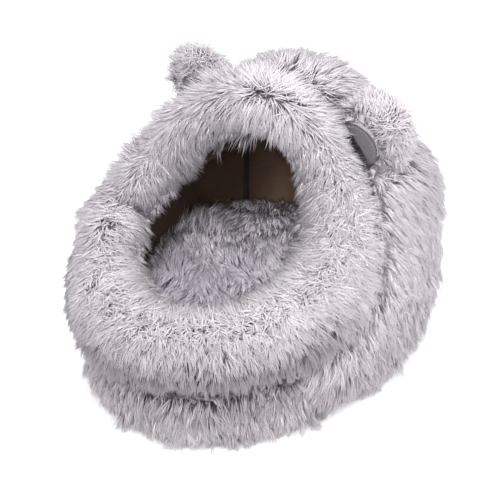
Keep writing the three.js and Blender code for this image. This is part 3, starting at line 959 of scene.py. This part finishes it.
def stitch_ring(name, cloth, middle):
    """The sewing line just inside a felt's edge. Each stitch is a small closed spindle of four sides."""
    half_stitch, half_waist, thickness, sunk = 0.0011, 0.0006, 0.0003, 0.0001
    away = (FELT_RADIUS - SEWN_INSIDE) * MM
    points, faces = [], []
    for k in range(STITCHES):
        turn = 2 * math.pi * k / STITCHES
        ways = (math.cos(turn), math.sin(turn))
        start = Vector((middle[0] * MM + away * ways[0], -0.2, middle[1] * MM + away * ways[1]))
        place, way_out, _, _ = cloth.ray_cast(start, Vector((0, 1, 0)))
        if place is None or way_out.y > -0.5:
            continue
        run = Vector((-ways[1], 0, ways[0]))
        run = (run - way_out * run.dot(way_out)).normalized()
        aside = run.cross(way_out)
        first = len(points)
        points += [place - run * half_stitch - way_out * sunk, place + run * half_stitch - way_out * sunk]
        for along in (-half_waist, half_waist):
            for across, lift in ((1, 0), (0, 1), (-1, 0), (0, -1)):
                points.append(place + run * along + (aside * across + way_out * lift) * thickness)
        low, high = first + 2, first + 6
        for c in range(4):
            d = (c + 1) % 4
            faces += [(first, low + c, low + d), (low + c, high + c, high + d, low + d)]
            faces.append((first + 1, high + d, high + c))
    mesh = bpy.data.meshes.new(name)
    mesh.from_pydata([tuple(q) for q in points], [], faces)
    piece = bpy.data.objects.new(name, mesh)
    bpy.context.scene.collection.objects.link(piece)
    choose(piece)
    bpy.ops.object.mode_set(mode="EDIT")
    bpy.ops.mesh.select_all(action="SELECT")
    bpy.ops.mesh.normals_make_consistent(inside=False)
    bpy.ops.object.mode_set(mode="OBJECT")
    smooth_faces(piece)
    mesh.materials.append(FELT_THREAD)
    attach(piece, "root")
    return piece


def make_ear(label):
    parting, felt_middle = EARS[label]
    felt = copy_of(f"ear_felt_{label}", f"ear_felt_{label}_cloth")
    apply_modifier(felt, "REMESH", mode="VOXEL", voxel_size=0.0011)
    apply_modifier(felt, "SMOOTH", factor=0.5, iterations=6)
    smooth_faces(felt)
    felt.data.materials.append(felt_finish(f"grey_felt_{label}", felt_middle))
    near_felt = BVHTree.FromObject(felt, bpy.context.evaluated_depsgraph_get())

    def off_felt(p):
        """0 on the felt and 1 from a few millimetres past its edge."""
        gap = np.array([near_felt.find_nearest(Vector(q))[3] for q in p])
        return ramp(gap, 0.0024, 0.0038)

    def behind_felt(p, n):
        return 0.6 + 8 * off_felt(p)

    body = padded_body(f"ear_{label}", f"ear_body_{label}", 0.0025, behind_felt, 4, 3, 0.0005)
    body.data.materials.append(BACKING)
    stitches = stitch_ring(f"ear_stitches_{label}", near_felt, felt_middle)

    def share(p, n):
        return off_felt(p) * (1 + 1.5 * near(p, np.array(parting) * MM, 0.018))

    def length(p, n):
        from_felt = np.linalg.norm((p / MM - (felt_middle[0], 0, felt_middle[1])) * (1, 0, 1), axis=1)
        behind = ramp(n[:, 1], -0.3, 0.7)
        return (25 + 4 * behind) * (0.62 + 0.38 * ramp(from_felt, FELT_RADIUS, FELT_RADIUS + 14))

    def rise(p, n):
        return np.full(len(p), 0.72)

    def shade(p, n):
        # Painted light in the strands' tint: lighter where the ear's pile faces up
        return 0.89 + 0.06 * ease(n[:, 2])

    lie, tousle = ear_lie(parting, felt_middle)
    strands = grow_pile(body, STRANDS["ear"], share, lie, length, rise, shade, seed=61 + len(label),
                        tousle=tousle)
    pile_piece(f"ear_pile_{label}", strands, "plush", PLUSH)


def make_lining():
    tape = copy_of("seam_binding", "seam_tape")
    apply_modifier(tape, "SUBSURF", subdivision_type="CATMULL_CLARK", levels=2, render_levels=2)
    smooth_faces(tape)
    tape.data.materials.append(tape_finish())
    middle = points_of(tape).mean(axis=0)
    tape_turn = math.atan2(middle[1] - CAVE_AXIS[1], middle[0])

    cloth = copy_of("lining", "lining_cloth")
    apply_modifier(cloth, "SUBSURF", subdivision_type="SIMPLE", levels=1, render_levels=1)
    p = points_of(cloth)
    out = p - CAVE_AXIS
    out[:, 2] = 0
    turn = np.arctan2(out[:, 1], out[:, 0])
    folds = 0.8 * np.sin(turn * 15 + 2.2 * np.sin(p[:, 2] / 0.04))
    folds += 1.1 * drift(p, 45, 8) + 0.9 * drift(p, 110, 9)
    off_tape = ramp(np.abs(turn - tape_turn), 0.05, 0.17)
    inwards = (folds + 2.8) * 0.55 * MM * off_tape * ramp(p[:, 2], 0.02, 0.07)
    p -= unit(out) * inwards[:, None]
    p[:, 1] += 0.007 * ramp(p[:, 1], 0.07, 0.03) * ramp(p[:, 2], 0.17, 0.20)
    move_points(cloth, p)
    smooth_faces(cloth)
    cloth.data.materials.append(lining_finish())


def make_bottom():
    panel = copy_of("base_panel", "bottom_panel")
    apply_modifier(panel, "BEVEL", width=0.003, segments=3, limit_method="ANGLE")
    smooth_faces(panel)
    panel.data.materials.append(bottom_finish())


PLUSH = pile_finish("lilac_grey_pile", (tone(60, 51, 57), tone(182, 172, 182)),
                    (tone(182, 172, 181), tone(255, 249, 255)))
# PLUSH_SHADE is the pile darkened: painted shade on the front wall under the roll
PLUSH_SHADE = pile_finish("shaded_pile", (tone(66, 57, 60), tone(158, 147, 152)),
                          (tone(196, 186, 193), tone(255, 249, 255)))
# CUSHION_PLUSH is the pile made paler: painted light where the hood shades the cushion
CUSHION_PLUSH = pile_finish("cushion_pile", (tone(132, 121, 136), tone(236, 222, 242)),
                            (tone(226, 216, 230), tone(255, 248, 255)))
BACKING = backing_finish("pile_backing", tone(176, 167, 176), tone(210, 201, 210))
CUSHION_BACKING = backing_finish("cushion_backing", tone(186, 175, 190), tone(218, 208, 222))
FELT_THREAD = thread_finish("felt_thread", tone(170, 168, 172))

set_up_studio()
make_bottom()
make_lining()
make_roll()
make_hood()
make_front_wall()
make_cushion()
for ear in EARS:
    make_ear(ear)
